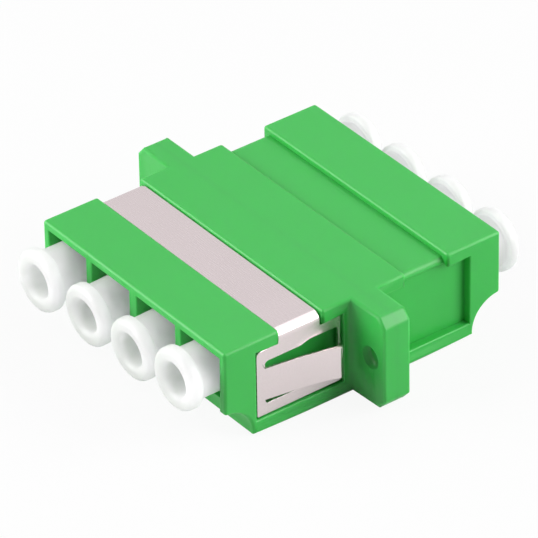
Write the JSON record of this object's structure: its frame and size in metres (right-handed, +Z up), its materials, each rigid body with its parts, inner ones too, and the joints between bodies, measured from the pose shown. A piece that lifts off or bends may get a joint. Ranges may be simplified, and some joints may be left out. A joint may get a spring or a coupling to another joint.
{
  "type": "fibre optic bulkhead adapter",
  "caption": "Flanged multi-port fibre optic coupler with a sprung metal panel clip, ceramic alignment sleeves and removable dust caps.",
  "frame": {"origin": "midway across the ports, on the plane where the two halves meet, at the height of the underside's lowest line", "axes": "+X across the ports, +Y along the mating axis from the clip end to the other end, +Z up, away from the latch side"},
  "size_m": [0.035, 0.036, 0.0097],
  "materials": {
    "housing": "satin moulded green",
    "clip": "fine rolled stainless spring steel",
    "sleeve": "ground white zirconia",
    "cap": "soft translucent white"
  },
  "bodies": {
    "adapter": {"front_housing": "housing", "rear_housing": "housing", "panel_clip": "clip", "split_sleeve_1": "sleeve", "split_sleeve_2": "sleeve", "split_sleeve_3": "sleeve", "split_sleeve_4": "sleeve"},
    "front_dust_cap_1": {"front_cap_1": "cap"},
    "front_dust_cap_2": {"front_cap_2": "cap"},
    "front_dust_cap_3": {"front_cap_3": "cap"},
    "front_dust_cap_4": {"front_cap_4": "cap"},
    "rear_dust_cap_1": {"rear_cap_1": "cap"},
    "rear_dust_cap_2": {"rear_cap_2": "cap"},
    "rear_dust_cap_3": {"rear_cap_3": "cap"},
    "rear_dust_cap_4": {"rear_cap_4": "cap"}
  },
  "joints": [
    {"name": "front_cap_1_pull", "type": "slide", "parent": "adapter", "child": "front_dust_cap_1", "axis": [0, -1, 0], "range_m": [0, 0.014]},
    {"name": "front_cap_2_pull", "type": "slide", "parent": "adapter", "child": "front_dust_cap_2", "axis": [0, -1, 0], "range_m": [0, 0.014]},
    {"name": "front_cap_3_pull", "type": "slide", "parent": "adapter", "child": "front_dust_cap_3", "axis": [0, -1, 0], "range_m": [0, 0.014]},
    {"name": "front_cap_4_pull", "type": "slide", "parent": "adapter", "child": "front_dust_cap_4", "axis": [0, -1, 0], "range_m": [0, 0.014]},
    {"name": "rear_cap_1_pull", "type": "slide", "parent": "adapter", "child": "rear_dust_cap_1", "axis": [0, 1, 0], "range_m": [0, 0.014]},
    {"name": "rear_cap_2_pull", "type": "slide", "parent": "adapter", "child": "rear_dust_cap_2", "axis": [0, 1, 0], "range_m": [0, 0.014]},
    {"name": "rear_cap_3_pull", "type": "slide", "parent": "adapter", "child": "rear_dust_cap_3", "axis": [0, 1, 0], "range_m": [0, 0.014]},
    {"name": "rear_cap_4_pull", "type": "slide", "parent": "adapter", "child": "rear_dust_cap_4", "axis": [0, 1, 0], "range_m": [0, 0.014]}
  ]
}
